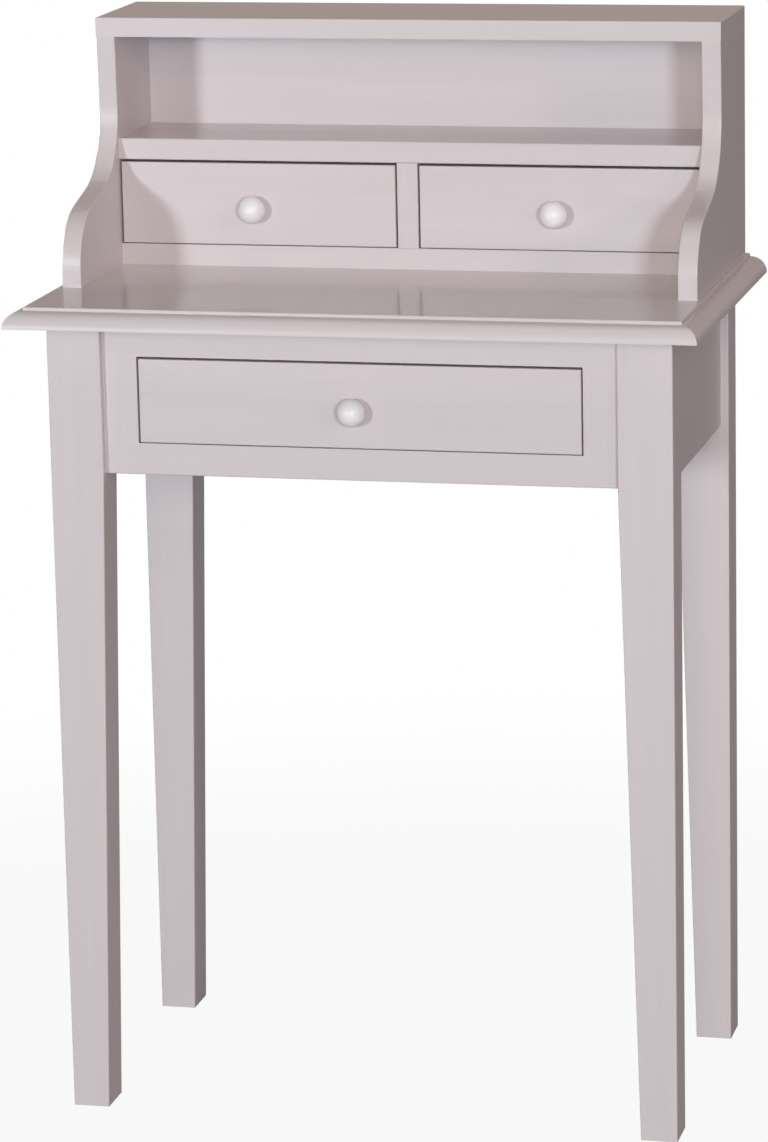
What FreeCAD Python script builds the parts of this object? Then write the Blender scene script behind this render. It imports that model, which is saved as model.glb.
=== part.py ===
"""Bonheur du jour: a small painted writing desk with a hutch of two drawers and an open shelf.

Millimetres. +Z is up, the front faces -Y and +X is to the right as one sits at the desk.
The origin lies on the floor, under the middle of the desk top.
"""
import FreeCAD, Part
import Sketcher
import math
import operator
import os
from types import SimpleNamespace

# Driving dimensions in millimetres
SIZES = {
    # Desk height to its writing surface, and the size of its top
    "desk_height": 766,
    "top_width": 634,
    "top_depth": 386,
    # Desk top: thickness, upright step of the moulding and the ledge at the foot of that step
    "top_thick": 18,
    "moulding_step": 3,
    "moulding_ledge": 1,
    # How far the desk top stands out over the legs
    "front_overhang": 41,
    "side_overhang": 29,
    "back_overhang": 6,
    # Legs, straight beside the aprons and tapered on their inner face below
    "leg_width": 50,
    "leg_depth": 42,
    "foot_width": 34,
    # Aprons and the frame round the desk drawer
    "apron_height": 140,
    "apron_thick": 20,
    "apron_recess": 7.5,
    "bottom_rail_height": 29,
    "top_rail_height": 31,
    "stile_width": 32,
    # Mortise and tenon joints, and the stub tenons of stiles and runners
    "tenon_thick": 8,
    "tenon_length": 18,
    "apron_shoulder": 15,
    "rail_shoulder": 5,
    "stub_length": 8,
    "stub_shoulder": 5,
    "mortise_slack": 1,
    # Runners under the desk drawer, with the guides beside it and the kickers above it
    "runner_height": 20,
    "runner_seat": 18,
    "guide_thick": 16,
    "guide_height": 20,
    "guide_gap": 0.5,
    "kicker_width": 24,
    # Stops behind the drawer fronts
    "stop_width": 30,
    "stop_depth": 14,
    "stop_height": 4,
    # Cleats that hold the desk top
    "cleat_width": 22,
    "cleat_height": 22,
    "cleat_end_gap": 20,
    # Wood screws
    "screw_length": 34,
    "screw_diameter": 4,
    "screw_head_diameter": 8,
    "screw_head_height": 2.5,
    "screw_point": 4,
    # Hutch: its setback from the moulding, its openings and its boards
    "hutch_setback": 4.5,
    "hutch_opening_height": 80,
    "open_shelf_height": 96,
    "board_thick": 18,
    "shelf_thick": 20,
    "divider_thick": 20,
    "hutch_top_depth": 134,
    "drawer_plane_depth": 130,
    "back_thick": 12,
    "back_inset": 8.5,
    "back_groove": 8,
    # Curved front edge of the hutch sides, as the corners that the two curves round off
    "side_foot_depth": 264,
    "side_waist_depth": 129,
    "foot_corner_height": 58.5,
    "waist_corner_height": 94.5,
    "nose_radius": 55,
    "hollow_radius": 70,
    # Dowels of the hutch
    "dowel_diameter": 8,
    "dowel_length": 30,
    "dowel_bite": 12,
    "hole_slack": 0.1,
    # Drawers
    "drawer_gap": 1.6,
    "drawer_top_gap": 2.2,
    "drawer_lift": 0.6,
    "drawer_rear_gap": 4,
    "drawer_front_thick": 18,
    "drawer_side_thick": 11,
    "drawer_side_drop": 5,
    "drawer_back_inset": 6,
    "bottom_thick": 5,
    "bottom_lift": 8,
    "groove_depth": 5,
    "housing_depth": 4,
    "panel_slack": 0.5,
    "lap_thick": 5,
    "tail_width": 24,
    # Knobs and the machine screws that hold them
    "knob_drop": 4.5,
    "knob_aside": 4.5,
    "knob_diameter": 26,
    "knob_projection": 20,
    "knob_waist_at": 3.2,
    "knob_widest_at": 8,
    "knob_base_diameter": 17,
    "knob_base_height": 1.4,
    "knob_neck_diameter": 13,
    "knob_bore_depth": 12,
    "knob_screw_bite": 10,
    # Rounding of edges that show, and the overrun of cuts
    "eased_radius": 1.2,
    "overrun": 2,
}

# Places along a piece, as shares of its length
DOWEL_ROW_SHARES = (0.2, 0.5, 0.8)
DIVIDER_DOWEL_SHARES = (0.2, 0.8)
SIDE_SCREW_SHARES = (0.3, 0.75)
FLOOR_SCREW_SHARE = 0.45
CLEAT_UPRIGHT_SHARES = (0.12, 0.5, 0.88)
CLEAT_LEVEL_SHARES = (0.31, 0.69)
STOP_SHARE = 0.55
TAIL_SHARES = (0.24, 0.76)
TAIL_SLOPE_SHARE = 0.14

# Left and right, and the directions that joints run in
SIDES = {"left": -1, "right": 1}
ALONG_X = FreeCAD.Vector(1, 0, 0)
ALONG_Y = FreeCAD.Vector(0, 1, 0)
ALONG_Z = FreeCAD.Vector(0, 0, 1)
TURN_LEFT = 1
TURN_RIGHT = -1
FULL_TURN = 360
NEAR = 1e-4

# Axes and root point of a sketch, by the numbers that constraints use
LEVEL_AXIS = -1
UPRIGHT_AXIS = LEVEL_AXIS * 2
ROOT_POINT = (LEVEL_AXIS, 1)

doc = FreeCAD.newDocument("bonheur_du_jour")
sheet = doc.addObject("Spreadsheet::Sheet", "Sizes")
for row, (alias, number) in enumerate(SIZES.items(), start=1):
    sheet.set(f"A{row}", alias)
    sheet.set(f"B{row}", str(number))
    sheet.setAlias(f"B{row}", alias)
doc.recompute()


class Size:
    """A length together with the sheet expression that it comes from."""

    def __init__(self, value, text):
        self.value = value
        self.text = text

    def combine(self, sign, work, other):
        other = as_size(other)
        return Size(work(self.value, other.value), f"({self.text} {sign} {other.text})")

    def __add__(self, other):
        return self.combine("+", operator.add, other)

    def __sub__(self, other):
        return self.combine("-", operator.sub, other)

    def __mul__(self, other):
        return self.combine("*", operator.mul, other)

    def __truediv__(self, other):
        return self.combine("/", operator.truediv, other)

    def __neg__(self):
        return self * -1


def as_size(number):
    """Take a plain number, such as zero or a share, as a size."""
    return number if isinstance(number, Size) else Size(number, str(number))


s = SimpleNamespace(**{alias: Size(number, f"Sizes.{alias}") for alias, number in SIZES.items()})

# Planes of the desk, measured from the origin
top_back = s.top_depth / 2
top_front = -top_back
leg_front = top_front + s.front_overhang
leg_back = top_back - s.back_overhang
leg_outer = s.top_width / 2 - s.side_overhang
leg_inner = leg_outer - s.leg_width
leg_top = s.desk_height - s.top_thick
ovolo_radius = s.top_thick - s.moulding_step
moulding_width = ovolo_radius + s.moulding_ledge
apron_bottom = leg_top - s.apron_height
front_face = leg_front + s.apron_recess
rail_back = leg_front + s.leg_depth
side_end = leg_back - s.leg_depth
apron_outer = leg_outer - s.apron_recess
apron_inner = apron_outer - s.apron_thick
back_inner = leg_back - s.apron_recess - s.apron_thick
opening_bottom = apron_bottom + s.bottom_rail_height
opening_top = leg_top - s.top_rail_height
opening_half = leg_inner - s.stile_width
opening_height = opening_top - opening_bottom
desk_drawer_half = opening_half - s.drawer_gap

# Planes of the hutch, which stands on the desk top
hutch_outer = s.top_width / 2 - moulding_width - s.hutch_setback
hutch_inner = hutch_outer - s.board_thick
shelf_bottom = s.shelf_thick + s.hutch_opening_height
side_height = shelf_bottom + s.shelf_thick + s.open_shelf_height
hutch_front = top_back - s.hutch_top_depth
drawer_plane = top_back - s.drawer_plane_depth
back_rear = top_back - s.back_inset
back_face = back_rear - s.back_thick
divider_half = s.divider_thick / 2
hutch_opening = hutch_inner - divider_half
dowel_rest = s.dowel_length - s.dowel_bite
dowel_rows = [drawer_plane + (back_face - drawer_plane) * share for share in DOWEL_ROW_SHARES]
divider_rows = [drawer_plane + (back_face - drawer_plane) * share for share in DIVIDER_DOWEL_SHARES]

# Top of a drawer's bottom panel, and the places of cleats and screws
bottom_top = s.bottom_lift + s.bottom_thick
cleat_front = rail_back + s.cleat_end_gap
cleat_back = side_end - s.cleat_end_gap
cleat_inner = apron_inner - s.cleat_width
cleat_bottom = leg_top - s.cleat_height
upright_rows = [cleat_front + (cleat_back - cleat_front) * share for share in CLEAT_UPRIGHT_SHARES]
level_rows = [cleat_front + (cleat_back - cleat_front) * share for share in CLEAT_LEVEL_SHARES]
foot_front = top_back - s.side_foot_depth
dowel_space = (dowel_rows[0] + dowel_rows[1]) / 2
foot_rows = [drawer_plane + (foot_front - drawer_plane) * share for share in SIDE_SCREW_SHARES]
side_screw_rows = [dowel_space, *foot_rows]
floor_screw_row = (drawer_plane + back_face) / 2

pieces = []


def bind(thing, name, size):
    """Tie one property of a feature to the sheet."""
    thing.setExpression(name, as_size(size).text)


def place(thing, corner):
    """Tie the place of a feature or a body to the sheet."""
    for axis, size in zip("xyz", corner):
        if isinstance(size, Size):
            bind(thing, f"Placement.Base.{axis}", size)


def new_body(name, at=(0, 0, 0)):
    """Start a named piece whose own frame stands at the given place."""
    body = doc.addObject("PartDesign::Body", name)
    body.Label = name
    place(body, at)
    pieces.append(body)
    return body


def block(body, kind, name, low, high):
    """Add or cut a square block between its low and its high corner."""
    feature = body.newObject(f"PartDesign::{kind}Box", name)
    for prop, start, end in zip(("Length", "Width", "Height"), low, high):
        bind(feature, prop, as_size(end) - start)
    place(feature, low)


def board(body, low, high):
    """Add a board, a tenon or a tongue."""
    block(body, "Additive", "Board", low, high)


def notch(body, low, high):
    """Cut a mortise, a groove or a housing."""
    block(body, "Subtractive", "Notch", low, high)


def turned(body, kind, name, start, axis, length):
    """Add or cut a turned form that runs along an axis from its start."""
    feature = body.newObject(f"PartDesign::{kind}", name)
    bind(feature, "Height", length)
    feature.Placement = FreeCAD.Placement(FreeCAD.Vector(), FreeCAD.Rotation(ALONG_Z, axis))
    place(feature, start)
    return feature


def rod(body, start, axis, radius, length):
    """Add a round rod."""
    bind(turned(body, "AdditiveCylinder", "Rod", start, axis, length), "Radius", radius)


def bore(body, start, axis, radius, length):
    """Drill a round hole."""
    bind(turned(body, "SubtractiveCylinder", "Bore", start, axis, length), "Radius", radius)


def cone(body, kind, start, axis, radii, length):
    """Add or cut a cone from its first radius to its second."""
    feature = turned(body, kind, "Cone", start, axis, length)
    bind(feature, "Radius1", radii[0])
    bind(feature, "Radius2", radii[1])


def along(start, axis, length):
    """Step along an axis from a place."""
    return tuple(as_size(base) + as_size(length) * int(step) for base, step in zip(start, axis))


def span(side, near, far):
    """Put two distances from the middle plane in rising order on the left or the right."""
    return (near, far) if side > 0 else (-far, -near)


def new_sketch(body, role, offset=0):
    """Start a sketch on one of the body's own planes, or beside it."""
    plane = next(item for item in body.Origin.OriginFeatures if item.Role == role)
    sketch = body.newObject("Sketcher::SketchObject", "Outline")
    sketch.AttachmentSupport = [(plane, "")]
    sketch.MapMode = "FlatFace"
    if isinstance(offset, Size):
        bind(sketch, "AttachmentOffset.Base.z", offset)
    return sketch


def pin(sketch, geometry, vertex, x, y):
    """Hold one vertex of a sketch at sizes from the sheet."""
    for kind, axis, size in (("DistanceX", UPRIGHT_AXIS, as_size(x)), ("DistanceY", LEVEL_AXIS, as_size(y))):
        if size.value == 0:
            sketch.addConstraint(Sketcher.Constraint("PointOnObject", geometry, vertex, axis))
        else:
            distance = Sketcher.Constraint(kind, *ROOT_POINT, geometry, vertex, size.value)
            index = sketch.addConstraint(distance)
            sketch.setExpression(f"Constraints[{index}]", size.text)


def arc_between(start, end, radius, turn):
    """Give the short arc between two points that turns left or right on its way."""
    chord = end - start
    across = FreeCAD.Vector(-chord.y, chord.x, 0).normalize() * turn
    height = math.sqrt(max(radius ** 2 - (chord.Length / 2) ** 2, 0))
    centre = (start + end) / 2 + across * height
    first, last = (start, end) if turn == TURN_LEFT else (end, start)
    angles = [math.atan2(point.y - centre.y, point.x - centre.x) for point in (first, last)]
    return Part.ArcOfCircle(Part.Circle(centre, ALONG_Z, radius), *angles)


def outline(sketch, points):
    """Draw a closed outline. A point may carry the radius and turn of the arc that leaves it."""
    base = sketch.GeometryCount
    spots = [FreeCAD.Vector(as_size(point[0]).value, as_size(point[1]).value, 0) for point in points]
    firsts = []
    lasts = []
    for (x, y, *arc), start, end in zip(points, spots, spots[1:] + spots[:1]):
        ends = [1, 2]
        if arc:
            radius, turn = arc
            sketch.addGeometry(arc_between(start, end, radius.value, turn))
            ends = ends[::turn]
        else:
            sketch.addGeometry(Part.LineSegment(start, end))
        firsts.append(ends[0])
        lasts.append(ends[1])
    for index, (x, y, *arc) in enumerate(points):
        after = (index + 1) % len(points)
        joined = (base + index, lasts[index], base + after, firsts[after])
        sketch.addConstraint(Sketcher.Constraint("Coincident", *joined))
        pin(sketch, base + index, firsts[index], x, y)
        if arc:
            radius, turn = arc
            number = sketch.addConstraint(Sketcher.Constraint("Radius", base + index, radius.value))
            sketch.setExpression(f"Constraints[{number}]", radius.text)


def pad(body, sketch, length, reverse=False):
    """Raise a solid from a sketch."""
    feature = body.newObject("PartDesign::Pad", "Pad")
    feature.Profile = sketch
    feature.Reversed = reverse
    bind(feature, "Length", length)


def pocket(body, sketch, length, reverse=False, both_ways=False):
    """Cut a sketch out of a solid."""
    feature = body.newObject("PartDesign::Pocket", "Pocket")
    feature.Profile = sketch
    feature.Reversed = reverse
    if both_ways:
        feature.SideType = "Symmetric"
    bind(feature, "Length", length)
    return feature


def ease(body, radius, wanted):
    """Round the edges of a piece that the test picks."""
    doc.recompute()
    base = body.Tip
    edges = [f"Edge{number}" for number, edge in enumerate(base.Shape.Edges, start=1) if wanted(edge)]
    fillet = body.newObject("PartDesign::Fillet", "Eased")
    fillet.Base = (base, edges)
    bind(fillet, "Radius", radius)


def edge_at(y, z):
    """Test for the edge along X at a place in the side view."""
    def wanted(edge):
        middle = edge.CenterOfMass
        level = edge.BoundBox.YLength < NEAR and edge.BoundBox.ZLength < NEAR
        return level and abs(middle.y - y.value) < NEAR and abs(middle.z - z.value) < NEAR
    return wanted


def at_level(level, short_of=None):
    """Test for the edges at one level, without those that lie wholly in a plane at the back."""
    def wanted(edge):
        flat = edge.BoundBox.ZLength < NEAR and abs(edge.BoundBox.ZMin - level.value) < NEAR
        return flat and not (short_of and edge.BoundBox.YMin > short_of.value - NEAR)
    return wanted


def in_face(face, length):
    """Test for the edges in one upright plane that run level, as XLength, or upright, as ZLength."""
    def wanted(edge):
        return getattr(edge.BoundBox, length) > NEAR and abs(edge.BoundBox.YMax - face.value) < NEAR
    return wanted


def screw_hole(body, start, axis, length, sunk=False):
    """Drill for a wood screw, with a countersink where its head lies."""
    bore(body, start, axis, s.screw_diameter / 2 + s.hole_slack, length)
    if sunk:
        radii = (s.screw_head_diameter / 2 + s.hole_slack, s.screw_diameter / 2 + s.hole_slack)
        cone(body, "SubtractiveCone", start, axis, radii, s.screw_head_height)


def wood_screw(body, start, axis):
    """Add a countersunk wood screw, with its head flush at the start."""
    shank = s.screw_diameter / 2
    shank_length = s.screw_length - s.screw_point
    rod(body, start, axis, shank, shank_length)
    cone(body, "AdditiveCone", start, axis, (s.screw_head_diameter / 2, shank), s.screw_head_height)
    cone(body, "AdditiveCone", along(start, axis, shank_length), axis, (shank, s.hole_slack), s.screw_point)


def leg(name, side, is_front):
    """Square leg with its mortises, in a frame at the foot of its outer face."""
    body = new_body(name, (leg_outer * side, leg_front if is_front else side_end, 0))
    sketch = new_sketch(body, "XZ_Plane")
    outline(sketch, [
        (0, 0),
        (s.foot_width * -side, 0),
        (s.leg_width * -side, apron_bottom),
        (s.leg_width * -side, leg_top),
        (0, leg_top),
    ])
    pad(body, sketch, s.leg_depth, reverse=True)
    ease(body, s.eased_radius, lambda edge: edge.BoundBox.ZLength > s.leg_width.value)

    # Mortises for the rails of the front frame, or for the back apron
    depth = s.tenon_length + s.mortise_slack
    across = span(-side, s.leg_width - depth, s.leg_width + s.overrun)
    apron_levels = (apron_bottom + s.apron_shoulder, leg_top - s.apron_shoulder)
    if is_front:
        middle = (s.apron_recess + s.leg_depth) / 2
        levels = [rail_tenon_levels(*rail) for rail in front_rails.values()]
    else:
        middle = s.leg_depth - s.apron_recess - s.apron_thick / 2
        levels = [apron_levels]
    half = s.tenon_thick / 2
    for low, high in levels:
        notch(body, (across[0], middle - half, low), (across[1], middle + half, high))

    # Mortise for the side apron
    apron_middle = s.apron_recess + s.apron_thick / 2
    across = span(-side, apron_middle - half, apron_middle + half)
    inner = (s.leg_depth - depth, s.leg_depth + s.overrun) if is_front else (-s.overrun, depth)
    notch(body, (across[0], inner[0], apron_levels[0]), (across[1], inner[1], apron_levels[1]))


front_rails = {
    "front_bottom_rail": (apron_bottom, opening_bottom),
    "front_top_rail": (opening_top, leg_top),
}


def rail_tenon_levels(low, high):
    """Give the heights between which a rail's tenon lies."""
    return low + s.rail_shoulder, high - s.rail_shoulder


def front_rail(name, low, high):
    """Rail of the front frame, tenoned into the legs, with mortises for the stiles."""
    body = new_body(name)
    board(body, (-leg_inner, front_face, low), (leg_inner, rail_back, high))
    is_bottom = name == "front_bottom_rail"
    if is_bottom:
        ease(body, s.eased_radius, at_level(low))
    middle = (front_face + rail_back) / 2
    half = s.tenon_thick / 2
    reach = leg_inner + s.tenon_length
    tenon_low, tenon_high = rail_tenon_levels(low, high)
    board(body, (-reach, middle - half, tenon_low), (reach, middle + half, tenon_high))

    stub = s.stub_length + s.mortise_slack
    levels = (high - stub, high + s.overrun) if is_bottom else (low - s.overrun, low + stub)
    stile_middle = front_face + s.apron_thick / 2
    for side in SIDES.values():
        across = span(side, opening_half + s.stub_shoulder, leg_inner - s.stub_shoulder)
        notch(body, (across[0], stile_middle - half, levels[0]), (across[1], stile_middle + half, levels[1]))
        if is_bottom:
            runner_mortise(body, side, rail_back - stub, rail_back + s.overrun)


def front_stile(name, side):
    """Upright of the front frame, with a stub tenon at each end."""
    body = new_body(name, (0, front_face, 0))
    across = span(side, opening_half, leg_inner)
    board(body, (across[0], 0, opening_bottom), (across[1], s.apron_thick, opening_top))
    middle = s.apron_thick / 2
    half = s.tenon_thick / 2
    board(
        body,
        (across[0] + s.stub_shoulder, middle - half, opening_bottom - s.stub_length),
        (across[1] - s.stub_shoulder, middle + half, opening_top + s.stub_length),
    )


def side_apron(name, side):
    """Apron between a front and a back leg, with pilot holes for the cleat's screws."""
    body = new_body(name, (0, 0, apron_bottom))
    across = span(side, apron_inner, apron_outer)
    board(body, (across[0], rail_back, 0), (across[1], side_end, s.apron_height))
    ease(body, s.eased_radius, at_level(as_size(0)))
    middle = (across[0] + across[1]) / 2
    half = s.tenon_thick / 2
    board(
        body,
        (middle - half, rail_back - s.tenon_length, s.apron_shoulder),
        (middle + half, side_end + s.tenon_length, s.apron_height - s.apron_shoulder),
    )
    level = s.apron_height - s.cleat_height / 2
    for row in level_rows:
        start = (apron_inner * side, row, level)
        screw_hole(body, start, ALONG_X * side, s.screw_length - s.cleat_width)


def back_apron():
    """Apron between the back legs, with mortises for the runners."""
    body = new_body("back_apron")
    back_outer = back_inner + s.apron_thick
    board(body, (-leg_inner, back_inner, apron_bottom), (leg_inner, back_outer, leg_top))
    ease(body, s.eased_radius, at_level(apron_bottom))
    middle = (back_inner + back_outer) / 2
    half = s.tenon_thick / 2
    reach = leg_inner + s.tenon_length
    board(
        body,
        (-reach, middle - half, apron_bottom + s.apron_shoulder),
        (reach, middle + half, leg_top - s.apron_shoulder),
    )
    for side in SIDES.values():
        runner_mortise(body, side, back_inner - s.overrun, back_inner + s.stub_length + s.mortise_slack)


# Section of a runner, measured from the middle of the desk and from the seat of the drawer
guide_inner = desk_drawer_half + s.guide_gap
guide_outer = guide_inner + s.guide_thick
seat_inner = guide_inner - s.runner_seat
runner_stub = (seat_inner + s.stub_shoulder, guide_outer - s.stub_shoulder)
runner_stub_levels = (s.stub_shoulder - s.runner_height, -s.stub_shoulder)


def runner_mortise(body, side, front, back):
    """Cut the mortise for the stub tenon of a runner."""
    across = span(side, *runner_stub)
    low, high = [opening_bottom + level for level in runner_stub_levels]
    notch(body, (across[0], front, low), (across[1], back, high))


def runner(name, side):
    """Runner with its guide, in a frame at the front end and the level of its seat."""
    body = new_body(name, (0, rail_back, opening_bottom))
    sketch = new_sketch(body, "XZ_Plane")
    outline(sketch, [
        (seat_inner * side, 0),
        (guide_inner * side, 0),
        (guide_inner * side, s.guide_height),
        (guide_outer * side, s.guide_height),
        (guide_outer * side, -s.runner_height),
        (seat_inner * side, -s.runner_height),
    ])
    length = back_inner - rail_back
    pad(body, sketch, length, reverse=True)
    across = span(side, *runner_stub)
    low, high = runner_stub_levels
    board(body, (across[0], -s.stub_length, low), (across[1], length + s.stub_length, high))


def kicker(name, side):
    """Batten over a side of the desk drawer that stops it from tipping."""
    body = new_body(name, (0, rail_back, opening_top))
    across = span(side, seat_inner, seat_inner + s.kicker_width)
    board(body, (across[0], 0, 0), (across[1], back_inner - rail_back, s.top_rail_height))


def drawer_stops(name, openings, face, level):
    """Small blocks behind the drawer fronts, two to each opening."""
    body = new_body(name, (0, face + s.drawer_front_thick, level))
    for middle, half in openings:
        for side in SIDES.values():
            start = middle + half * STOP_SHARE * side - s.stop_width / 2
            board(body, (start, 0, 0), (start + s.stop_width, s.stop_depth, s.stop_height))


def cleat(name, side):
    """Batten that joins the desk top to a side apron."""
    body = new_body(name)
    across = span(side, cleat_inner, apron_inner)
    board(body, (across[0], cleat_front, cleat_bottom), (across[1], cleat_back, leg_top))
    for start, axis in cleat_screw_places(side):
        screw_hole(body, start, axis, s.cleat_width + s.overrun, sunk=True)


def cleat_screw_places(side):
    """Give the heads and directions of the screws through one cleat."""
    upright_x = (cleat_inner + apron_inner) / 2 * side
    upright = [((upright_x, row, cleat_bottom), ALONG_Z) for row in upright_rows]
    level_z = leg_top - s.cleat_height / 2
    level = [((cleat_inner * side, row, level_z), ALONG_X * side) for row in level_rows]
    return upright + level


def hutch_screw_places():
    """Give the heads of the screws that come up through the desk top into the hutch."""
    side_x = (hutch_inner + hutch_outer) / 2
    floor_x = hutch_inner * FLOOR_SCREW_SHARE
    sides = [(side_x * side, row) for side in SIDES.values() for row in side_screw_rows]
    floor = [(floor_x * side, floor_screw_row) for side in SIDES.values()]
    return sides, floor


def desk_top():
    """Desk top, with an ovolo under a small step along the front and both sides."""
    body = new_body("desk_top", (0, 0, leg_top))
    half_width = s.top_width / 2
    board(body, (-half_width, top_front, 0), (half_width, top_back, s.top_thick))

    # The same section is cut along each side and along the front
    for role, edge, facing in (
        ("XZ_Plane", half_width, 1),
        ("XZ_Plane", half_width, -1),
        ("YZ_Plane", top_back, -1),
    ):
        sketch = new_sketch(body, role)
        outline(sketch, [
            ((edge - moulding_width) * facing, ovolo_radius),
            ((edge - ovolo_radius) * facing, ovolo_radius, ovolo_radius, TURN_RIGHT * facing),
            (edge * facing, 0),
            ((edge + s.overrun) * facing, 0),
            ((edge + s.overrun) * facing, s.top_thick + s.overrun),
            ((edge - moulding_width) * facing, s.top_thick + s.overrun),
        ])
        pocket(body, sketch, s.top_width * 2, both_ways=True)
    ease(body, s.eased_radius, at_level(s.top_thick, short_of=top_back))

    # Holes for the screws from the cleats and into the hutch
    for side in SIDES.values():
        for (x, y, _), axis in cleat_screw_places(side):
            if axis == ALONG_Z:
                screw_hole(body, (x, y, 0), axis, s.screw_length - s.cleat_height)
    for x, y in sum(hutch_screw_places(), []):
        screw_hole(body, (x, y, 0), ALONG_Z, s.top_thick + s.overrun, sunk=True)


def hutch_side(name, side):
    """Side panel with an S-curved front edge, in a frame on the desk top."""
    body = new_body(name, (0, 0, s.desk_height))
    waist_front = top_back - s.side_waist_depth
    sketch = new_sketch(body, "YZ_Plane", hutch_inner * side)
    outline(sketch, [
        (foot_front, 0),
        (foot_front, s.foot_corner_height),
        (waist_front, s.waist_corner_height),
        (hutch_front, side_height),
        (top_back, side_height),
        (top_back, 0),
    ])
    pad(body, sketch, s.board_thick, reverse=side < 0)
    ease(body, s.hollow_radius, edge_at(waist_front, s.waist_corner_height))
    ease(body, s.nose_radius, edge_at(foot_front, s.foot_corner_height))
    front_edges = lambda edge: edge.BoundBox.XLength < NEAR and edge.BoundBox.YMax < back_face.value
    ease(body, s.eased_radius, front_edges)

    # Groove for the back panel, dowel holes for floor, shelf and top, pilot holes for the screws
    across = span(side, hutch_inner - s.overrun, hutch_inner + s.back_groove)
    notch(body, (across[0], back_face, -s.overrun), (across[1], back_rear, side_height + s.overrun))
    middle = (hutch_inner + hutch_outer) / 2 * side
    for row in dowel_rows:
        for level in (s.shelf_thick / 2, shelf_bottom + s.shelf_thick / 2):
            dowel_hole(body, (hutch_inner * side, row, level), ALONG_X * side, s.dowel_bite)
        dowel_hole(body, (middle, row, side_height), -ALONG_Z, dowel_rest)
    for row in side_screw_rows:
        screw_hole(body, (middle, row, 0), ALONG_Z, s.screw_length - s.top_thick)


def dowel_hole(body, start, axis, length):
    """Drill for a dowel."""
    bore(body, start, axis, s.dowel_diameter / 2 + s.hole_slack, length)


def hutch_top():
    """Top board of the hutch, on the ends of the side panels."""
    body = new_body("hutch_top", (0, 0, s.desk_height + side_height))
    board(body, (-hutch_outer, hutch_front, 0), (hutch_outer, top_back, s.board_thick))
    ease(body, s.eased_radius, at_level(s.board_thick))
    notch(
        body,
        (-hutch_inner - s.back_groove, back_face, -s.overrun),
        (hutch_inner + s.back_groove, back_rear, s.back_groove),
    )
    for side in SIDES.values():
        for row in dowel_rows:
            dowel_hole(body, ((hutch_inner + hutch_outer) / 2 * side, row, 0), ALONG_Z, s.dowel_bite)


def hutch_board(name, level, divider_face, divider_axis):
    """Floor or shelf between the side panels, dowelled to them and to the divider."""
    body = new_body(name, (0, 0, s.desk_height + level))
    board(body, (-hutch_inner, drawer_plane, 0), (hutch_inner, back_face, s.shelf_thick))
    upper_only = name == "hutch_floor"
    front = edge_at(drawer_plane, s.shelf_thick) if upper_only else in_face(drawer_plane, "XLength")
    ease(body, s.eased_radius, front)
    for side in SIDES.values():
        for row in dowel_rows:
            dowel_hole(body, (hutch_inner * side, row, s.shelf_thick / 2), ALONG_X * -side, dowel_rest)
    for row in divider_rows:
        dowel_hole(body, (0, row, divider_face), divider_axis, s.dowel_bite)
    if name == "hutch_floor":
        for x, y in hutch_screw_places()[1]:
            screw_hole(body, (x, y, 0), ALONG_Z, s.screw_length - s.top_thick)


def hutch_divider():
    """Upright between the two hutch drawers."""
    body = new_body("hutch_divider", (0, 0, s.desk_height + s.shelf_thick))
    height = s.hutch_opening_height
    board(body, (-divider_half, drawer_plane, 0), (divider_half, back_face, height))
    ease(body, s.eased_radius, in_face(drawer_plane, "ZLength"))
    for row in divider_rows:
        dowel_hole(body, (0, row, 0), ALONG_Z, dowel_rest)
        dowel_hole(body, (0, row, height), -ALONG_Z, dowel_rest)


def hutch_back():
    """Back panel, in the grooves of the sides and the top board."""
    body = new_body("hutch_back", (0, 0, s.desk_height))
    reach = hutch_inner + s.back_groove - s.panel_slack
    board(body, (-reach, back_face, 0), (reach, back_rear, side_height + s.back_groove - s.panel_slack))


def hutch_dowels():
    """All the dowels of the hutch, each a separate rod."""
    body = new_body("hutch_dowels", (0, 0, s.desk_height))
    radius = s.dowel_diameter / 2
    for side in SIDES.values():
        for row in dowel_rows:
            for level in (s.shelf_thick / 2, shelf_bottom + s.shelf_thick / 2):
                start = ((hutch_inner + s.dowel_bite) * side, row, level)
                rod(body, start, ALONG_X * -side, radius, s.dowel_length)
            start = ((hutch_inner + hutch_outer) / 2 * side, row, side_height - dowel_rest)
            rod(body, start, ALONG_Z, radius, s.dowel_length)
    for row in divider_rows:
        rod(body, (0, row, s.shelf_thick - s.dowel_bite), ALONG_Z, radius, s.dowel_length)
        rod(body, (0, row, shelf_bottom - dowel_rest), ALONG_Z, radius, s.dowel_length)


def tail(share, side_top):
    """Outline of one dovetail from its upper to its lower corner, seen from the side."""
    middle = side_top * share
    tip = s.tail_width / 2
    root = tip - (s.drawer_front_thick - s.lap_thick) * TAIL_SLOPE_SHARE
    return [
        (s.drawer_front_thick, middle + root),
        (s.lap_thick, middle + tip),
        (s.lap_thick, middle - tip),
        (s.drawer_front_thick, middle - root),
    ]


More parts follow.
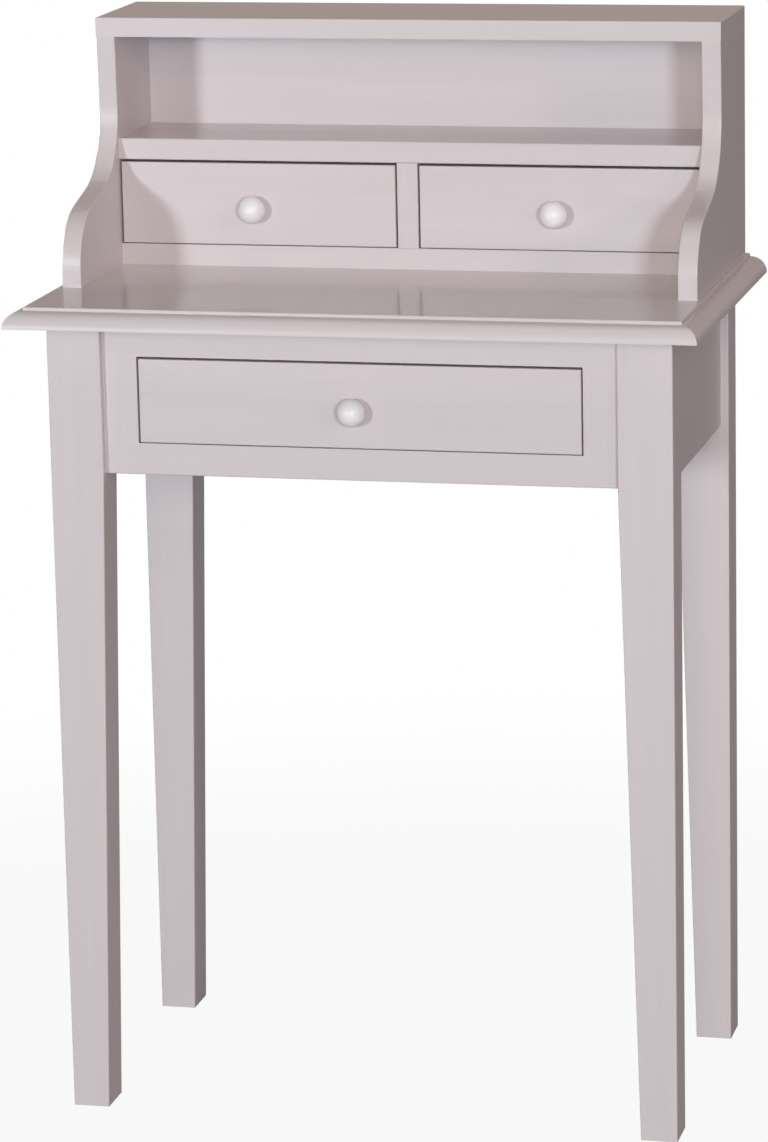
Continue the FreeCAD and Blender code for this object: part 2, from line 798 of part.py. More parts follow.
def drawer_front(name, box):
    """Drawer front with lapped dovetail sockets, a groove for the bottom and a knob hole."""
    body = new_body(name, box.at)
    thick = s.drawer_front_thick
    board(body, (-box.half, 0, s.drawer_lift), (box.half, thick, box.front_top))
    ease(body, s.eased_radius, lambda edge: edge.BoundBox.YMax < NEAR)
    reach = box.inner + s.groove_depth
    notch(body, (-reach, thick - s.groove_depth, s.bottom_lift), (reach, thick + s.overrun, bottom_top))
    for side in SIDES.values():
        sketch = new_sketch(body, "YZ_Plane", box.inner * side)
        for share in TAIL_SHARES:
            outline(sketch, tail(share, box.side_top))
        pocket(body, sketch, s.drawer_side_thick + s.overrun, reverse=side > 0)
    radius = s.screw_diameter / 2 + s.hole_slack
    bore(body, (-s.knob_aside, -s.overrun, box.knob_level), ALONG_Y, radius, thick + s.overrun * 2)


def drawer_side(name, box, side):
    """Drawer side with its tails, a groove for the bottom and a housing for the back."""
    body = new_body(name, box.at)
    sketch = new_sketch(body, "YZ_Plane", box.inner * side)
    tails = [corner for share in reversed(TAIL_SHARES) for corner in tail(share, box.side_top)]
    outline(sketch, [
        (s.drawer_front_thick, 0),
        (box.length, 0),
        (box.length, box.side_top),
        (s.drawer_front_thick, box.side_top),
        *tails,
    ])
    pad(body, sketch, s.drawer_side_thick, reverse=side < 0)
    across = span(side, box.inner - s.overrun, box.inner + s.groove_depth)
    notch(
        body,
        (across[0], s.lap_thick - s.overrun, s.bottom_lift),
        (across[1], box.length + s.overrun, bottom_top),
    )
    across = span(side, box.inner - s.overrun, box.inner + s.housing_depth)
    notch(
        body,
        (across[0], box.rear - s.drawer_side_thick, bottom_top),
        (across[1], box.rear, box.side_top + s.overrun),
    )


def drawer_back(name, box):
    """Drawer back, housed in the sides and standing on the bottom."""
    body = new_body(name, box.at)
    reach = box.inner + s.housing_depth
    board(body, (-reach, box.rear - s.drawer_side_thick, bottom_top), (reach, box.rear, box.side_top))


def drawer_bottom(name, box):
    """Thin drawer bottom in its grooves."""
    body = new_body(name, box.at)
    reach = box.inner + s.groove_depth - s.panel_slack
    front = s.drawer_front_thick - s.groove_depth + s.panel_slack
    board(body, (-reach, front, s.bottom_lift), (reach, box.rear, bottom_top))


def rounding(rise, run):
    """Radius of the arc that climbs by its rise while it covers its run and ends along the run."""
    return (rise * rise + run * run) / (rise * 2)


def knob(name, box):
    """Turned knob: a collar, a hollow neck and a ball flattened to a dome."""
    x, y, z = box.at
    body = new_body(name, (x - s.knob_aside, y, z + box.knob_level))
    bore_radius = s.screw_diameter / 2 + s.hole_slack
    base = s.knob_base_diameter / 2
    neck = s.knob_neck_diameter / 2
    widest = s.knob_diameter / 2
    sketch = new_sketch(body, "XY_Plane")
    outline(sketch, [
        (bore_radius, 0),
        (base, 0),
        (base, -s.knob_base_height, rounding(base - neck, s.knob_waist_at - s.knob_base_height), TURN_LEFT),
        (neck, -s.knob_waist_at, rounding(widest - neck, s.knob_widest_at - s.knob_waist_at), TURN_RIGHT),
        (widest, -s.knob_widest_at, rounding(s.knob_projection - s.knob_widest_at, widest), TURN_RIGHT),
        (0, -s.knob_projection),
        (0, -s.knob_bore_depth),
        (bore_radius, -s.knob_bore_depth),
    ])
    feature = body.newObject("PartDesign::Revolution", "Turning")
    feature.Profile = sketch
    feature.ReferenceAxis = (sketch, ["V_Axis"])
    feature.Angle = FULL_TURN


def knob_screw(name, box):
    """Machine screw from inside the drawer front into the knob."""
    x, y, z = box.at
    body = new_body(name, (x - s.knob_aside, y + s.drawer_front_thick, z + box.knob_level))
    rod(body, (0, 0, 0), ALONG_Y, s.screw_head_diameter / 2, s.screw_head_height)
    rod(body, (0, 0, 0), -ALONG_Y, s.screw_diameter / 2, s.drawer_front_thick + s.knob_screw_bite)


def drawer(name, at, opening_width, height, depth):
    """All the pieces of one drawer, in a frame at the middle of its opening's lower front edge."""
    half = opening_width / 2 - s.drawer_gap
    length = depth - s.drawer_rear_gap
    front_top = height - s.drawer_top_gap
    box = SimpleNamespace(
        at=at,
        half=half,
        inner=half - s.drawer_side_thick,
        length=length,
        rear=length - s.drawer_back_inset,
        front_top=front_top,
        side_top=height - s.drawer_side_drop,
        knob_level=(front_top + s.drawer_lift) / 2 - s.knob_drop,
    )
    drawer_front(f"{name}_front", box)
    for word, side in SIDES.items():
        drawer_side(f"{name}_{word}_side", box, side)
    drawer_back(f"{name}_back", box)
    drawer_bottom(f"{name}_bottom", box)
    knob(f"{name}_knob", box)
    knob_screw(f"{name}_knob_screw", box)


# Desk
for word, side in SIDES.items():
    leg(f"front_{word}_leg", side, True)
    leg(f"back_{word}_leg", side, False)
    front_stile(f"front_{word}_stile", side)
    side_apron(f"{word}_apron", side)
    runner(f"{word}_runner", side)
    kicker(f"{word}_kicker", side)
    cleat(f"{word}_cleat", side)
for name, levels in front_rails.items():
    front_rail(name, *levels)
back_apron()
drawer_stops("desk_drawer_stops", [(as_size(0), opening_half)], front_face, opening_bottom)
desk_top()
cleat_screws = new_body("cleat_screws")
for side in SIDES.values():
    for start, axis in cleat_screw_places(side):
        wood_screw(cleat_screws, start, axis)

# Hutch
for word, side in SIDES.items():
    hutch_side(f"hutch_{word}_side", side)
hutch_top()
hutch_board("hutch_floor", as_size(0), s.shelf_thick, -ALONG_Z)
hutch_board("hutch_shelf", shelf_bottom, 0, ALONG_Z)
hutch_divider()
hutch_back()
hutch_dowels()
hutch_screws = new_body("hutch_screws", (0, 0, leg_top))
for x, y in sum(hutch_screw_places(), []):
    wood_screw(hutch_screws, (x, y, 0), ALONG_Z)
hutch_middles = [(divider_half + hutch_opening / 2) * side for side in SIDES.values()]
hutch_seat = s.desk_height + s.shelf_thick
drawer_stops("hutch_drawer_stops", [(x, hutch_opening / 2) for x in hutch_middles], drawer_plane, hutch_seat)

# Drawers
desk_seat = (as_size(0), front_face, opening_bottom)
drawer("desk_drawer", desk_seat, opening_half * 2, opening_height, back_inner - front_face)
for word, middle in zip(SIDES, hutch_middles):
    seat = (middle, drawer_plane, hutch_seat)
    drawer(f"hutch_{word}_drawer", seat, hutch_opening, s.hutch_opening_height, back_face - drawer_plane)

# Check every feature before anything is written
doc.recompute()
for item in doc.Objects:
    if "Invalid" in item.State or "Error" in item.State:
        raise RuntimeError(f"{item.Label} failed: {item.State}")
    if "Subtractive" in item.TypeId or item.TypeId == "PartDesign::Pocket":
        if item.Shape.Volume > item.BaseFeature.Shape.Volume - NEAR:
            raise RuntimeError(f"{item.Label} in {item.getParentGeoFeatureGroup().Label} cuts nothing")
os.makedirs("parts", exist_ok=True)
for body in pieces:
    if body.Shape.isNull() or not body.Shape.isValid():
        raise RuntimeError(f"{body.Label} has no valid solid")
    body.Shape.exportStep(f"parts/{body.Label}.step")
print(f"{len(pieces)} pieces written")
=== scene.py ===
"""Looks of the bonheur du jour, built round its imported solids. Metres, in the solids' own frame."""
import math

import bmesh
import bpy
from mathutils import Matrix, Vector


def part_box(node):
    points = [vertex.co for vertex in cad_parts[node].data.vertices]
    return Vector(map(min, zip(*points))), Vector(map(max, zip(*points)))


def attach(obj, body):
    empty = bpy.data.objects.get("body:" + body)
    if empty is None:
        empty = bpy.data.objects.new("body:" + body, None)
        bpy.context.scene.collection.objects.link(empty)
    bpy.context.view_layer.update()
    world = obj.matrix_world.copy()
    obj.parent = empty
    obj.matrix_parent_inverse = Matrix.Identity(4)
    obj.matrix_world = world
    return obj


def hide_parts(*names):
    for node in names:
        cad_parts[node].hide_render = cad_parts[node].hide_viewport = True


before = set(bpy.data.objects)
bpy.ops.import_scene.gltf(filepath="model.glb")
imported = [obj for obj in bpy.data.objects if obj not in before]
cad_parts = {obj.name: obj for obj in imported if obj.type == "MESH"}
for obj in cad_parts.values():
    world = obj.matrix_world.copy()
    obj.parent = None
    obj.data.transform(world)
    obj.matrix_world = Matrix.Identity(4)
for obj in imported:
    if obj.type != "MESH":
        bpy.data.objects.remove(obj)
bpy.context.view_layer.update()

# Legs: four square lengths of hardwood, tapered on the inner face and mortised for the aprons.
# They are sanded, primed and sprayed with a satin paint, thin enough to show the upright grain.
MM = 0.001


def linear(hex_colour):
    """Turn an sRGB hex colour into the linear colour that shaders take."""
    shares = [int(hex_colour[start:start + 2], 16) / 255 for start in (1, 3, 5)]
    return [x / 12.92 if x <= 0.04045 else ((x + 0.055) / 1.055) ** 2.4 for x in shares] + [1]


def add(tree, kind, inputs=None, **settings):
    """Add a node with its settings, and fill or link its inputs."""
    node = tree.nodes.new(kind)
    for name, value in settings.items():
        setattr(node, name, value)
    for name, value in (inputs or {}).items():
        if isinstance(value, bpy.types.NodeSocket):
            tree.links.new(value, node.inputs[name])
        else:
            node.inputs[name].default_value = value
    return node


def new_material(name):
    """Start a node material with its shader and its output in place."""
    material = bpy.data.materials.new(name)
    material.use_nodes = True
    tree = material.node_tree
    tree.nodes.clear()
    shader = add(tree, "ShaderNodeBsdfPrincipled")
    add(tree, "ShaderNodeOutputMaterial", {"Surface": shader.outputs["BSDF"]})
    return material, tree, shader


def grain_mapping(tree, grain, along, across, shift):
    """Stretch the piece's own coordinates so that one unit of noise is one streak of grain.

    The shift moves each piece to a part of the noise of its own, as if cut from another board.
    """
    spacing = [along if axis == grain else across for axis in "xyz"]
    board_step = (3.1, 5.7, 7.3)
    place = add(tree, "ShaderNodeTexCoord").outputs["Object"]
    return add(tree, "ShaderNodeMapping", {
        "Vector": place,
        "Location": [shift * step for step in board_step],
        "Scale": [1 / size for size in spacing],
    }).outputs["Vector"]


def satin_paint(name, grain, shift):
    """Satin paint on hardwood: a pale pinkish grey film, faintly streaked where the grain lifts it.

    The eased edges are painted lighter, partly because the film is rubbed thin there and partly as
    a painted highlight along them. Its sheen is soft, but boards that lie flat have been wiped and
    waxed, and mirror what stands on them.
    """
    material, tree, shader = new_material(name)
    streaks = add(tree, "ShaderNodeTexNoise", {
        "Vector": grain_mapping(tree, grain, along=160 * MM, across=3.2 * MM, shift=shift),
        "Scale": 1,
        "Detail": 3,
        "Roughness": 0.55,
        "Distortion": 0.25,
    }).outputs["Fac"]
    boards = add(tree, "ShaderNodeTexNoise", {
        "Vector": grain_mapping(tree, grain, along=420 * MM, across=22 * MM, shift=shift + 0.5),
        "Scale": 1,
        "Detail": 2,
    }).outputs["Fac"]
    tone = add(tree, "ShaderNodeMix", {
        "Factor": 0.45,
        "A": streaks,
        "B": boards,
    }, data_type="FLOAT").outputs["Result"]
    film = add(tree, "ShaderNodeValToRGB", {"Fac": tone})
    film.color_ramp.elements[0].position = 0.3
    film.color_ramp.elements[0].color = linear("#cdc1c2")
    film.color_ramp.elements[1].position = 0.7
    film.color_ramp.elements[1].color = linear("#d1c5c7")

    # Lighter edges where the rounded normal leaves the flat one: the film rubbed thin there, plus a
    # painted highlight
    rounded = add(tree, "ShaderNodeBevel", {"Radius": 1.6 * MM}, samples=4).outputs["Normal"]
    flat = add(tree, "ShaderNodeNewGeometry").outputs["Normal"]
    agree = add(tree, "ShaderNodeVectorMath", {0: rounded, 1: flat}, operation="DOT_PRODUCT")
    patches = add(tree, "ShaderNodeTexNoise", {
        "Vector": grain_mapping(tree, grain, along=18 * MM, across=6 * MM, shift=shift),
        "Scale": 1,
        "Detail": 2,
    }).outputs["Fac"]
    edge = add(tree, "ShaderNodeMapRange", {
        "Value": agree.outputs["Value"],
        "From Min": 0.985,
        "From Max": 0.86,
    }).outputs["Result"]
    worn_and_highlit = add(tree, "ShaderNodeMath", {0: edge, 1: patches}, operation="MULTIPLY").outputs["Value"]
    film_socket, rubbed_and_highlit_socket, mixed_socket = 6, 7, 2
    # Mix towards the lighter edge colour, which is partly rubbed film and partly a painted highlight
    rubbed_and_highlit = add(tree, "ShaderNodeMix", {
        0: worn_and_highlit,
        film_socket: film.outputs["Color"],
        rubbed_and_highlit_socket: linear("#d6cccb"),
    }, data_type="RGBA").outputs[mixed_socket]
    tree.links.new(rubbed_and_highlit, shader.inputs["Base Color"])

    # Sheen varies with the film and is smoother on the waxed boards
    sheen = add(tree, "ShaderNodeMapRange", {
        "Value": boards,
        "From Min": 0.3,
        "From Max": 0.7,
        "To Min": 0.31,
        "To Max": 0.37,
    }).outputs["Result"]
    upward = add(tree, "ShaderNodeSeparateXYZ", {"Vector": flat}).outputs["Z"]
    waxed = add(tree, "ShaderNodeMapRange", {
        "Value": upward,
        "From Min": 0.85,
        "From Max": 0.98,
        "To Min": 1,
        "To Max": 0.42,
    }).outputs["Result"]
    polish = add(tree, "ShaderNodeMath", {0: sheen, 1: waxed}, operation="MULTIPLY")
    tree.links.new(polish.outputs["Value"], shader.inputs["Roughness"])

    # Open pores and spray mist give a faint relief
    mist = add(tree, "ShaderNodeTexNoise", {
        "Vector": grain_mapping(tree, grain, along=2.4 * MM, across=2.4 * MM, shift=shift),
        "Scale": 1,
        "Detail": 1,
    }).outputs["Fac"]
    pores = add(tree, "ShaderNodeBump", {"Height": streaks, "Strength": 0.2, "Distance": 0.05 * MM})
    relief = add(tree, "ShaderNodeBump", {
        "Height": mist,
        "Strength": 0.25,
        "Distance": 0.04 * MM,
        "Normal": pores.outputs["Normal"],
    })
    tree.links.new(relief.outputs["Normal"], shader.inputs["Normal"])
    shader.inputs["IOR"].default_value = 1.46
    return material


def finish(node, material):
    """Give a solid its one material."""
    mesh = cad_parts[node].data
    mesh.materials.clear()
    mesh.materials.append(material)


legs = ("front_left_leg", "front_right_leg", "back_left_leg", "back_right_leg")
for number, node in enumerate(legs):
    finish(node, satin_paint(f"satin_paint_{node}", "z", shift=1.3 + number * 0.71))

# Aprons and front frame: boards tenoned into the legs, with rails and stiles round the drawer.
# The grain runs along each board, and all of it has the same sprayed satin paint.
for number, (node, grain) in enumerate({
    "front_top_rail": "x",
    "front_bottom_rail": "x",
    "front_left_stile": "z",
    "front_right_stile": "z",
    "left_apron": "y",
    "right_apron": "y",
    "back_apron": "x",
}.items()):
    finish(node, satin_paint(f"satin_paint_{node}", grain, shift=5.2 + number * 0.83))


# Runners, kickers, cleats, stops and dowels: planed battens and pegs of the same hardwood, left
# bare inside the desk. They are glued or screwed in place, and the grain runs along the battens.
def bare_hardwood(name, grain, shift):
    """Matt planed hardwood: straw to honey colour, with darker growth bands and fine open pores."""
    material, tree, shader = new_material(name)
    bands = add(tree, "ShaderNodeTexNoise", {
        "Vector": grain_mapping(tree, grain, along=240 * MM, across=9 * MM, shift=shift),
        "Scale": 1,
        "Detail": 4,
        "Roughness": 0.6,
        "Distortion": 0.6,
    }).outputs["Fac"]
    pores = add(tree, "ShaderNodeTexNoise", {
        "Vector": grain_mapping(tree, grain, along=14 * MM, across=0.9 * MM, shift=shift),
        "Scale": 1,
        "Detail": 2,
    }).outputs["Fac"]
    tone = add(tree, "ShaderNodeMix", {"Factor": 0.3, "A": bands, "B": pores}, data_type="FLOAT")
    wood = add(tree, "ShaderNodeValToRGB", {"Fac": tone.outputs["Result"]})
    wood.color_ramp.elements[0].position = 0.3
    wood.color_ramp.elements[0].color = linear("#b8946a")
    wood.color_ramp.elements[1].position = 0.68
    wood.color_ramp.elements[1].color = linear("#dcc19a")
    tree.links.new(wood.outputs["Color"], shader.inputs["Base Color"])
    dry = add(tree, "ShaderNodeMapRange", {
        "Value": pores,
        "From Min": 0.3,
        "From Max": 0.7,
        "To Min": 0.72,
        "To Max": 0.58,
    }).outputs["Result"]
    tree.links.new(dry, shader.inputs["Roughness"])
    relief = add(tree, "ShaderNodeBump", {"Height": pores, "Strength": 0.5, "Distance": 0.12 * MM})
    tree.links.new(relief.outputs["Normal"], shader.inputs["Normal"])
    return material


for number, (node, grain) in enumerate({
    "left_runner": "y",
    "right_runner": "y",
    "left_kicker": "y",
    "right_kicker": "y",
    "left_cleat": "y",
    "right_cleat": "y",
    "desk_drawer_stops": "x",
    "hutch_drawer_stops": "x",
    "hutch_dowels": "x",
}.items()):
    finish(node, bare_hardwood(f"bare_hardwood_{node}", grain, shift=2.4 + number * 0.67))

# Desk top: one glued-up board, moulded with an ovolo under a small step on the front and the sides.
# It is painted with the rest, and its grain runs from side to side.
finish("desk_top", satin_paint("satin_paint_desk_top", "x", shift=11.9))

# Hutch: two sawn side panels with S-curved front edges, and a top, shelf, floor, divider and back.
# Dowels and glue hold the boards, the back sits in grooves, and the joints are painted over.
for number, (node, grain) in enumerate({
    "hutch_left_side": "z",
    "hutch_right_side": "z",
    "hutch_top": "x",
    "hutch_shelf": "x",
    "hutch_floor": "x",
    "hutch_divider": "z",
    "hutch_back": "x",
}.items()):
    finish(node, satin_paint(f"satin_paint_{node}", grain, shift=13.7 + number * 0.59))


# Screws: zinc plated steel wood screws that hold the cleats, the desk top and the hutch from below.
# A thin bright plating over rolled steel, slightly clouded.
def zinc_plate(name, shift):
    """Zinc plated steel: a grey metal with a soft blue cast and a slightly clouded gloss."""
    material, tree, shader = new_material(name)
    clouds = add(tree, "ShaderNodeTexNoise", {
        "Vector": grain_mapping(tree, "x", along=2 * MM, across=2 * MM, shift=shift),
        "Scale": 1,
        "Detail": 3,
    }).outputs["Fac"]
    plating = add(tree, "ShaderNodeValToRGB", {"Fac": clouds})
    plating.color_ramp.elements[0].color = linear("#b4b8bc")
    plating.color_ramp.elements[1].color = linear("#d4d6d6")
    tree.links.new(plating.outputs["Color"], shader.inputs["Base Color"])
    gloss = add(tree, "ShaderNodeMapRange", {
        "Value": clouds,
        "To Min": 0.28,
        "To Max": 0.45,
    }).outputs["Result"]
    tree.links.new(gloss, shader.inputs["Roughness"])
    shader.inputs["Metallic"].default_value = 1
    return material


screw_zinc = zinc_plate("zinc_plate_screws", shift=0.7)
finish("cleat_screws", screw_zinc)
finish("hutch_screws", screw_zinc)

# Drawers: painted fronts dovetailed to bare sides, with a housed back and a thin plywood bottom.
# The front's grain runs across, the sides' from front to back.
drawers = ("desk_drawer", "hutch_left_drawer", "hutch_right_drawer")


def plywood(name, shift):
    """Rotary-cut plywood: pale, broad wandering figure and short dark flecks, matt."""
    material, tree, shader = new_material(name)
    figure = add(tree, "ShaderNodeTexNoise", {
        "Vector": grain_mapping(tree, "x", along=180 * MM, across=26 * MM, shift=shift),
        "Scale": 1,
        "Detail": 4,
        "Distortion": 1.4,
    }).outputs["Fac"]
    flecks = add(tree, "ShaderNodeTexNoise", {
        "Vector": grain_mapping(tree, "x", along=9 * MM, across=0.8 * MM, shift=shift),
        "Scale": 1,
        "Detail": 1,
    }).outputs["Fac"]
    tone = add(tree, "ShaderNodeMix", {"Factor": 0.25, "A": figure, "B": flecks}, data_type="FLOAT")
    veneer = add(tree, "ShaderNodeValToRGB", {"Fac": tone.outputs["Result"]})
    veneer.color_ramp.elements[0].position = 0.32
    veneer.color_ramp.elements[0].color = linear("#c9a97c")
    veneer.color_ramp.elements[1].position = 0.66
    veneer.color_ramp.elements[1].color = linear("#e2cba6")
    tree.links.new(veneer.outputs["Color"], shader.inputs["Base Color"])
    relief = add(tree, "ShaderNodeBump", {"Height": flecks, "Strength": 0.4, "Distance": 0.1 * MM})
    tree.links.new(relief.outputs["Normal"], shader.inputs["Normal"])
    shader.inputs["Roughness"].default_value = 0.62
    return material


for number, drawer in enumerate(drawers):
    paint = satin_paint(f"satin_paint_{drawer}_front", "x", shift=19.3 + number * 1.37)
    finish(f"{drawer}_front", paint)
    for side, start in (("left_side", 25.89), ("right_side", 26.2)):
        wood = bare_hardwood(f"bare_hardwood_{drawer}_{side}", "y", shift=start + number * 0.97)
        finish(f"{drawer}_{side}", wood)
    wood = bare_hardwood(f"bare_hardwood_{drawer}_back", "x", shift=27.4 + number * 0.77)
    finish(f"{drawer}_back", wood)
    finish(f"{drawer}_bottom", plywood(f"plywood_{drawer}", shift=31.2 + number * 0.91))


# Knobs: turned hardwood with a collar, a hollow neck and a flattened ball, dipped in white lacquer.
# Each is held by a machine screw through the drawer front.
def white_lacquer(name, shift):
    """White satin lacquer on turned wood: near white, smooth, with a broad soft highlight."""
    material, tree, shader = new_material(name)
    clouds = add(tree, "ShaderNodeTexNoise", {
        "Vector": grain_mapping(tree, "y", along=12 * MM, across=8 * MM, shift=shift),
        "Scale": 1,
        "Detail": 2,
    }).outputs["Fac"]
    lacquer = add(tree, "ShaderNodeValToRGB", {"Fac": clouds})
    lacquer.color_ramp.elements[0].position = 0.3
    lacquer.color_ramp.elements[0].color = linear("#e8e0e3")
    lacquer.color_ramp.elements[1].position = 0.7
    lacquer.color_ramp.elements[1].color = linear("#eee7e9")
    tree.links.new(lacquer.outputs["Color"], shader.inputs["Base Color"])
    gloss = add(tree, "ShaderNodeMapRange", {
        "Value": clouds,
        "To Min": 0.3,
        "To Max": 0.4,
    }).outputs["Result"]
    tree.links.new(gloss, shader.inputs["Roughness"])
    mist = add(tree, "ShaderNodeTexNoise", {
        "Vector": grain_mapping(tree, "y", along=1.6 * MM, across=1.6 * MM, shift=shift),
        "Scale": 1,
    }).outputs["Fac"]
    relief = add(tree, "ShaderNodeBump", {"Height": mist, "Strength": 0.2, "Distance": 0.03 * MM})
    tree.links.new(relief.outputs["Normal"], shader.inputs["Normal"])
    return material


for number, drawer in enumerate(drawers):
    finish(f"{drawer}_knob", white_lacquer(f"white_lacquer_{drawer}", shift=37.1 + number * 0.63))


# Knob screws: zinc plated machine screws from inside the drawer, with a domed head and a cross
# recess. Each runs through the front into the knob, and moves with its drawer.
def cross_head_screw(node):
    """Model a screw in its solid's place, with its head towards the back."""
    low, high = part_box(node)
    head_radius, head_height = (high[0] - low[0]) / 2, 2.5 * MM
    shank_radius, dome = head_radius / 2, 1.4 * MM
    cells, slot_half, slot_reach, slot_depth = 12, 0.18, 0.7, 1.2 * MM
    length = high[1] - low[1] - head_height
    form = bmesh.new()
    bmesh.ops.create_grid(form, x_segments=cells, y_segments=cells, size=1)
    cross = [face for face in form.faces if max(map(abs, face.calc_center_median())) < slot_reach
             and min(abs(x) for x in face.calc_center_median().xy) < slot_half]
    rim = [edge for edge in form.edges if edge.is_boundary]

    # The square grid becomes a round domed head
    for vert in form.verts:
        x, y, _ = vert.co
        across = Vector((x * math.sqrt(1 - y * y / 2), y * math.sqrt(1 - x * x / 2)))
        vert.co = (*across * head_radius, head_height - dome * across.length_squared)
    sunk = bmesh.ops.extrude_face_region(form, geom=cross)["geom"]
    bmesh.ops.delete(form, geom=cross, context="FACES")
    for vert in (item for item in sunk if isinstance(item, bmesh.types.BMVert)):
        vert.co.z -= slot_depth
    skirt = bmesh.ops.extrude_edge_only(form, edges=rim)["geom"]
    for vert in (item for item in skirt if isinstance(item, bmesh.types.BMVert)):
        vert.co.z = 0
    bmesh.ops.create_cone(form, cap_ends=True, segments=24, radius1=shank_radius,
                          radius2=shank_radius, depth=length,
                          matrix=Matrix.Translation((0, 0, -length / 2)))
    bmesh.ops.recalc_face_normals(form, faces=form.faces)
    place = Vector(((low[0] + high[0]) / 2, high[1] - head_height, (low[2] + high[2]) / 2))
    turn = Matrix.Rotation(math.radians(-90), 4, "X")
    bmesh.ops.transform(form, matrix=Matrix.Translation(place) @ turn, verts=form.verts)
    mesh = bpy.data.meshes.new(f"cross_head_{node}")
    form.to_mesh(mesh)
    form.free()
    mesh.materials.append(screw_zinc)
    screw = bpy.data.objects.new(f"cross_head_{node}", mesh)
    bpy.context.scene.collection.objects.link(screw)
    return screw


for drawer in drawers:
    screw = cross_head_screw(f"{drawer}_knob_screw")
    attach(screw, drawer)
    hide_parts(f"{drawer}_knob_screw")

# Studio floor: a plain pale sheet of paper that the camera sees as white, with the desk's shadow.
# Satin paint and metal mirror its white only from far off, so the desk's sides keep their shade.
floor_mesh = bpy.data.meshes.new("studio_floor")
floor_form = bmesh.new()
bmesh.ops.create_grid(floor_form, x_segments=1, y_segments=1, size=20)
floor_form.to_mesh(floor_mesh)
floor_form.free()
floor = bpy.data.objects.new("studio_floor", floor_mesh)
bpy.context.scene.collection.objects.link(floor)
paper = bpy.data.materials.new("white_paper_floor")
paper.use_nodes = True
tree = paper.node_tree
tree.nodes.clear()
rays = add(tree, "ShaderNodeLightPath").outputs
spot = add(tree, "ShaderNodeTexCoord").outputs["Object"]
distance = add(tree, "ShaderNodeVectorMath", {0: spot}, operation="LENGTH").outputs["Value"]
clean = add(tree, "ShaderNodeMapRange", {
    "Value": distance,
    "From Min": 0.7,
    "From Max": 1.5,
    "To Min": 0.93,
    "To Max": 1,
}, interpolation_type="SMOOTHSTEP").outputs["Result"]
glow = add(tree, "ShaderNodeMapRange", {
    "Value": distance,
    "From Min": 2.6,
    "From Max": 4.2,
    "To Min": 0,
    "To Max": 0.06,
}, interpolation_type="SMOOTHSTEP").outputs["Result"]
mirrored = add(tree, "ShaderNodeMath", {
    0: rays["Is Glossy Ray"],
    1: rays["Is Transmission Ray"],
}, operation="MAXIMUM").outputs["Value"]
seen_share = add(tree, "ShaderNodeMath", {0: rays["Is Camera Ray"], 1: clean}, operation="MULTIPLY")
glow_share = add(tree, "ShaderNodeMath", {0: mirrored, 1: glow}, operation="MULTIPLY")
share = add(tree, "ShaderNodeMath", {
    0: seen_share.outputs["Value"],
    1: glow_share.outputs["Value"],
}, operation="MAXIMUM").outputs["Value"]
white = add(tree, "ShaderNodeEmission", {"Color": (1, 1, 1, 1), "Strength": 1})
matt = add(tree, "ShaderNodeBsdfDiffuse", {"Color": linear("#a09d9a")})
mixed = add(tree, "ShaderNodeMixShader", {
    0: share,
    1: matt.outputs["BSDF"],
    2: white.outputs["Emission"],
})
add(tree, "ShaderNodeOutputMaterial", {"Surface": mixed.outputs["Shader"]})
floor_mesh.materials.append(paper)

# Studio light: a broad soft box over the camera, smaller ones to its left and right, weak ones at
# the side and above, and a strong low one behind for the back and the left side. The back wall of
# the room gives a low warm light.
world = bpy.data.worlds.new("studio_room")
bpy.context.scene.world = world
world.use_nodes = True
tree = world.node_tree
tree.nodes.clear()
rays = add(tree, "ShaderNodeLightPath").outputs
direction = add(tree, "ShaderNodeTexCoord").outputs["Generated"]
depth = add(tree, "ShaderNodeSeparateXYZ", {"Vector": direction}).outputs["Y"]
back_wall = add(tree, "ShaderNodeMapRange", {
    "Value": depth,
    "From Min": 0.3,
    "From Max": 0.9,
    "To Min": 0,
    "To Max": 0.46,
}, interpolation_type="SMOOTHSTEP").outputs["Result"]
room = add(tree, "ShaderNodeBackground", {"Color": linear("#ffe8e1"), "Strength": back_wall})
white = add(tree, "ShaderNodeBackground", {"Color": (1, 1, 1, 1), "Strength": 1})
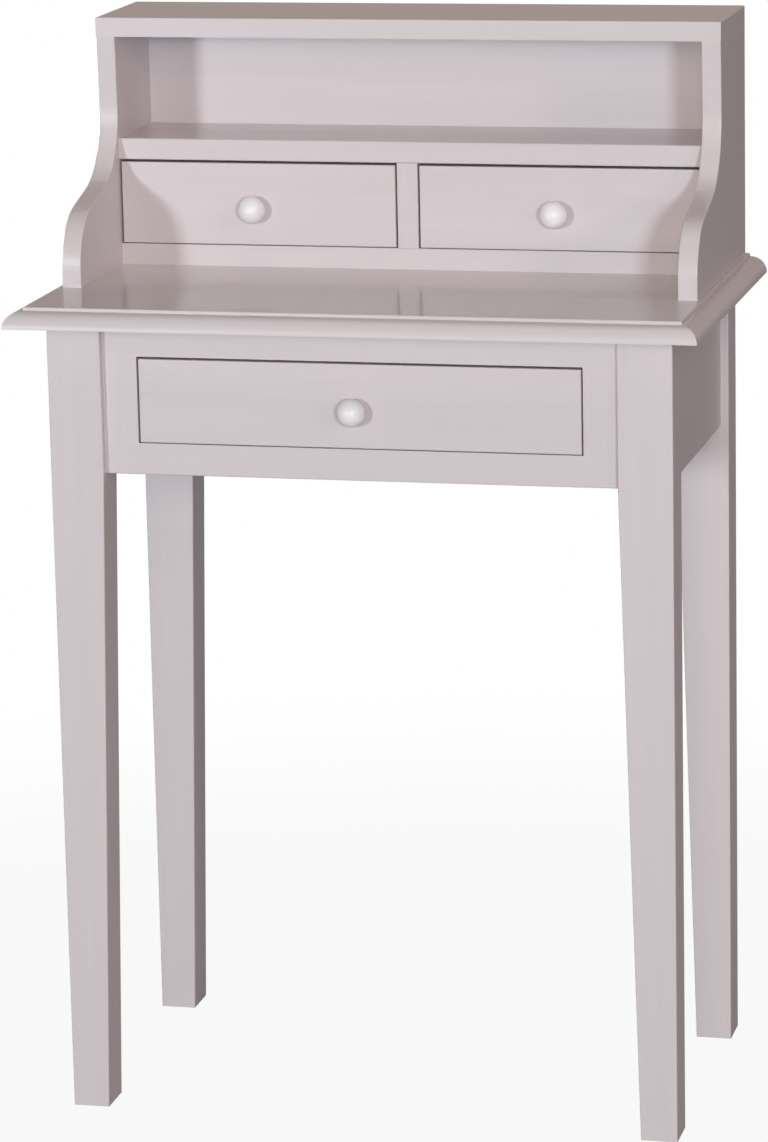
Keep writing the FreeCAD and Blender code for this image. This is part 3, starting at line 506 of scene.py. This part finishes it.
mixed = add(tree, "ShaderNodeMixShader", {
    0: rays["Is Camera Ray"],
    1: room.outputs["Background"],
    2: white.outputs["Background"],
})
add(tree, "ShaderNodeOutputWorld", {"Surface": mixed.outputs["Shader"]})
aim = Vector((0, 0.05, 0.75))


def soft_box(name, bearing, height, distance, size, power, colour):
    """Hang a square soft box round the desk, by its bearing from the front and its height angle."""
    light = bpy.data.lights.new(name, "AREA")
    light.shape = "SQUARE"
    light.size = size
    light.energy = power
    light.color = linear(colour)[:3]
    lamp = bpy.data.objects.new(name, light)
    turn, rise = math.radians(bearing), math.radians(height)
    level = math.cos(rise)
    out = Vector((math.sin(turn) * level, -math.cos(turn) * level, math.sin(rise)))
    lamp.location = aim + out * distance
    lamp.rotation_euler = out.to_track_quat("Z", "Y").to_euler()
    bpy.context.scene.collection.objects.link(lamp)


soft_box("front_soft_box",
         bearing=10, height=13, distance=9, size=1.6, power=170, colour="#fff0db")
soft_box("left_soft_box",
         bearing=-26, height=5, distance=8, size=0.8, power=231, colour="#f3faff")
soft_box("right_soft_box",
         bearing=25, height=7.5, distance=8, size=0.9, power=267, colour="#ddf1ff")
soft_box("side_soft_box",
         bearing=58, height=15, distance=8, size=0.6, power=70, colour="#ffddc8")
soft_box("high_right_soft_box",
         bearing=80, height=40, distance=8, size=3, power=52, colour="#fff0fa")
soft_box("top_soft_box",
         bearing=0, height=80, distance=5, size=2.5, power=38, colour="#fffdea")
soft_box("back_left_soft_box",
         bearing=-127, height=-1, distance=8, size=1.2, power=680, colour="#f4fdff")

# Camera: a long lens from a little to the right and above, as in the photograph.
# The standard view shows colours as the lamps give them.
camera_data = bpy.data.cameras.new("camera")
camera_data.sensor_fit = "VERTICAL"
camera_data.sensor_height = 36
camera_data.lens = 148.76
camera = bpy.data.objects.new("camera", camera_data)
camera.location = (1.01223, -4.1758, 1.49498)
camera.rotation_euler = [math.radians(angle) for angle in (76.8527, 1.1621, 13.5406)]
bpy.context.scene.collection.objects.link(camera)
bpy.context.scene.camera = camera
bpy.context.scene.view_settings.view_transform = "Standard"
